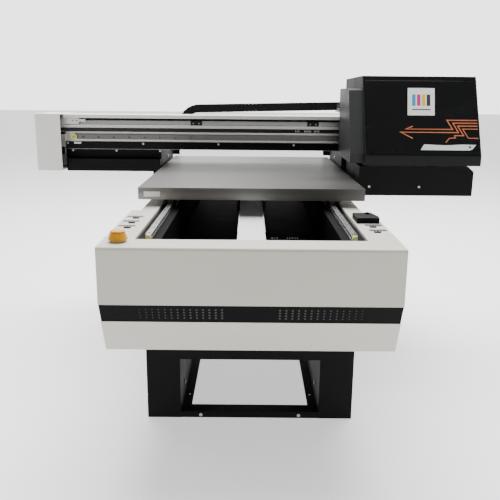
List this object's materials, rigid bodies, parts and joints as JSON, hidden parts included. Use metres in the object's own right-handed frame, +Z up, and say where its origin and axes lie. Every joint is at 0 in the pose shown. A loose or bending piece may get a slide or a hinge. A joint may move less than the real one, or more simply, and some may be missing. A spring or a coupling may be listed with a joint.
{
  "type": "flatbed UV printer",
  "caption": "Floor-standing flatbed UV printer: sliding metal bed under a fixed gantry, black print carriage on a rail, white cabinet on a black pedestal.",
  "frame": {"origin": "on the floor, at the centre of the four anchor holes in the pedestal", "axes": "+X to the operator's right, +Y away from the operator along the bed's travel, +Z up"},
  "size_m": [1.604, 1.602, 1.019],
  "materials": {
    "black_paint": "satin",
    "steel_screws": "satin",
    "white_paint": "fine texture",
    "light_grey_paint": "satin",
    "black_band": "satin",
    "black_plastic": "matte",
    "power_case": "satin",
    "collar_plastic": "gloss",
    "knob_plastic": "gloss",
    "rail_steel": "ground",
    "block_steel": "ground",
    "motor_black": "satin",
    "bracket_steel": "satin",
    "bed_aluminium": "brushed",
    "bed_core_grey": "matte",
    "bumper_rubber": "matte",
    "beam_aluminium": "anodised",
    "belt_rubber": "matte",
    "pulley_aluminium": "machined",
    "encoder_parts": "matte",
    "ink_plastic": "gloss",
    "carriage_black": "gloss",
    "head_steel": "satin",
    "head_body": "matte"
  },
  "bodies": {
    "root": {"left_leg": "black_paint", "right_leg": "black_paint", "pedestal_crossbars": "black_paint", "cover_screws": "steel_screws", "base_plate": "black_paint", "chassis": "black_paint", "rail_beams": "black_paint", "well_floor": "black_paint", "centre_cover": "light_grey_paint", "front_cover": "white_paint", "dot_band": "black_band", "lower_front_panel": "white_paint", "nose_covers": "white_paint", "left_control_panel": "white_paint", "right_control_panel": "white_paint", "side_covers": "white_paint", "rear_cover": "white_paint", "power_inlet": "black_plastic", "power_supplies": "power_case", "stop_collar": "collar_plastic", "switch_box": "black_plastic", "y_rails": "rail_steel", "y_motor": "motor_black", "rail_bumpers": "bumper_rubber", "gantry_supports": "black_paint", "beam": "beam_aluminium", "beam_lower_cover": "black_paint", "beam_top_cover": "white_paint", "x_rail": "rail_steel", "x_belt": "belt_rubber", "x_motor": "motor_black", "encoder_strip": "encoder_parts", "left_end_cap": "white_paint", "left_box": "black_paint", "ink_tanks": "ink_plastic", "station_housing": "black_paint", "chain_duct": "black_plastic"},
    "bed": {"y_blocks": "block_steel", "y_nut_bracket": "bracket_steel", "bed_plate": "bed_aluminium", "bed_core": "bed_core_grey"},
    "screw": {"y_screw": "rail_steel"},
    "carriage": {"carriage_plate": "bracket_steel", "carriage_housing": "carriage_black", "carriage_front_cover": "carriage_black", "lamp_pod": "carriage_black", "chain_upper_run": "black_plastic"},
    "head": {"head_plate": "head_steel", "print_heads": "head_body"},
    "chain_loop": {"chain_loop": "black_plastic"},
    "cap_unit": {"station_cap": "black_plastic"},
    "drive_pulley": {"x_drive_pulley": "pulley_aluminium"},
    "idler_pulley": {"x_idler_pulley": "pulley_aluminium"},
    "stop_knob": {"stop_knob": "knob_plastic"},
    "left_button_1": {"left_button_1": "black_plastic"},
    "left_button_2": {"left_button_2": "black_plastic"},
    "left_button_3": {"left_button_3": "black_plastic"},
    "right_button_1": {"right_button_1": "black_plastic"},
    "right_button_2": {"right_button_2": "black_plastic"},
    "toggle_lever": {"toggle_lever": "black_plastic"}
  },
  "joints": [
    {"name": "bed_slide", "type": "slide", "parent": "root", "child": "bed", "axis": [0, 1, 0], "range_m": [-0.42, 0.4]},
    {"name": "screw_spin", "type": "hinge", "parent": "root", "child": "screw", "pos_m": [0, 0, 0.54], "axis": [0, 1, 0], "range_deg": [-7210, 7570]},
    {"name": "carriage_slide", "type": "slide", "parent": "root", "child": "carriage", "axis": [1, 0, 0], "range_m": [-0.96, 0]},
    {"name": "head_lift", "type": "slide", "parent": "carriage", "child": "head", "axis": [0, 0, 1], "range_m": [-0.028, 0.03]},
    {"name": "chain_roll", "type": "slide", "parent": "carriage", "child": "chain_loop", "axis": [1, 0, 0], "range_m": [0, 0.481], "deforming": ["chain_upper_run"]},
    {"name": "cap_lift", "type": "slide", "parent": "root", "child": "cap_unit", "axis": [0, 0, 1], "range_m": [0, 0.027]},
    {"name": "drive_pulley_spin", "type": "hinge", "parent": "root", "child": "drive_pulley", "pos_m": [-0.777, 0.338, 0.813], "axis": [0, 0, 1], "range_deg": [-3500, 1]},
    {"name": "idler_pulley_spin", "type": "hinge", "parent": "root", "child": "idler_pulley", "pos_m": [0.758, 0.338, 0.813], "axis": [0, 0, 1], "range_deg": [-3500, 1]},
    {"name": "stop_knob_press", "type": "slide", "parent": "root", "child": "stop_knob", "axis": [0, 0, -1], "range_m": [0, 0.005], "stiffness_N_per_m": 1500, "springref_m": -0.001},
    {"name": "left_button_1_press", "type": "slide", "parent": "root", "child": "left_button_1", "axis": [0, 0, -1], "range_m": [0, 0.0025], "stiffness_N_per_m": 600, "springref_m": -0.0005},
    {"name": "left_button_2_press", "type": "slide", "parent": "root", "child": "left_button_2", "axis": [0, 0, -1], "range_m": [0, 0.0025], "stiffness_N_per_m": 600, "springref_m": -0.0005},
    {"name": "left_button_3_press", "type": "slide", "parent": "root", "child": "left_button_3", "axis": [0, 0, -1], "range_m": [0, 0.0025], "stiffness_N_per_m": 600, "springref_m": -0.0005},
    {"name": "right_button_1_press", "type": "slide", "parent": "root", "child": "right_button_1", "axis": [0, 0, -1], "range_m": [0, 0.0025], "stiffness_N_per_m": 600, "springref_m": -0.0005},
    {"name": "right_button_2_press", "type": "slide", "parent": "root", "child": "right_button_2", "axis": [0, 0, -1], "range_m": [0, 0.0025], "stiffness_N_per_m": 600, "springref_m": -0.0005},
    {"name": "toggle_tilt", "type": "hinge", "parent": "root", "child": "toggle_lever", "pos_m": [0.326, -0.434, 0.625], "axis": [1, 0, 0], "range_deg": [-20, 20]}
  ],
  "couplings": [
    {"joint": "screw_spin", "follows": "bed_slide", "rad_per_m": -314.16},
    {"joint": "chain_roll", "follows": "carriage_slide", "ratio": -0.5},
    {"joint": "drive_pulley_spin", "follows": "carriage_slide", "rad_per_m": 63.291},
    {"joint": "idler_pulley_spin", "follows": "carriage_slide", "rad_per_m": 63.291}
  ]
}
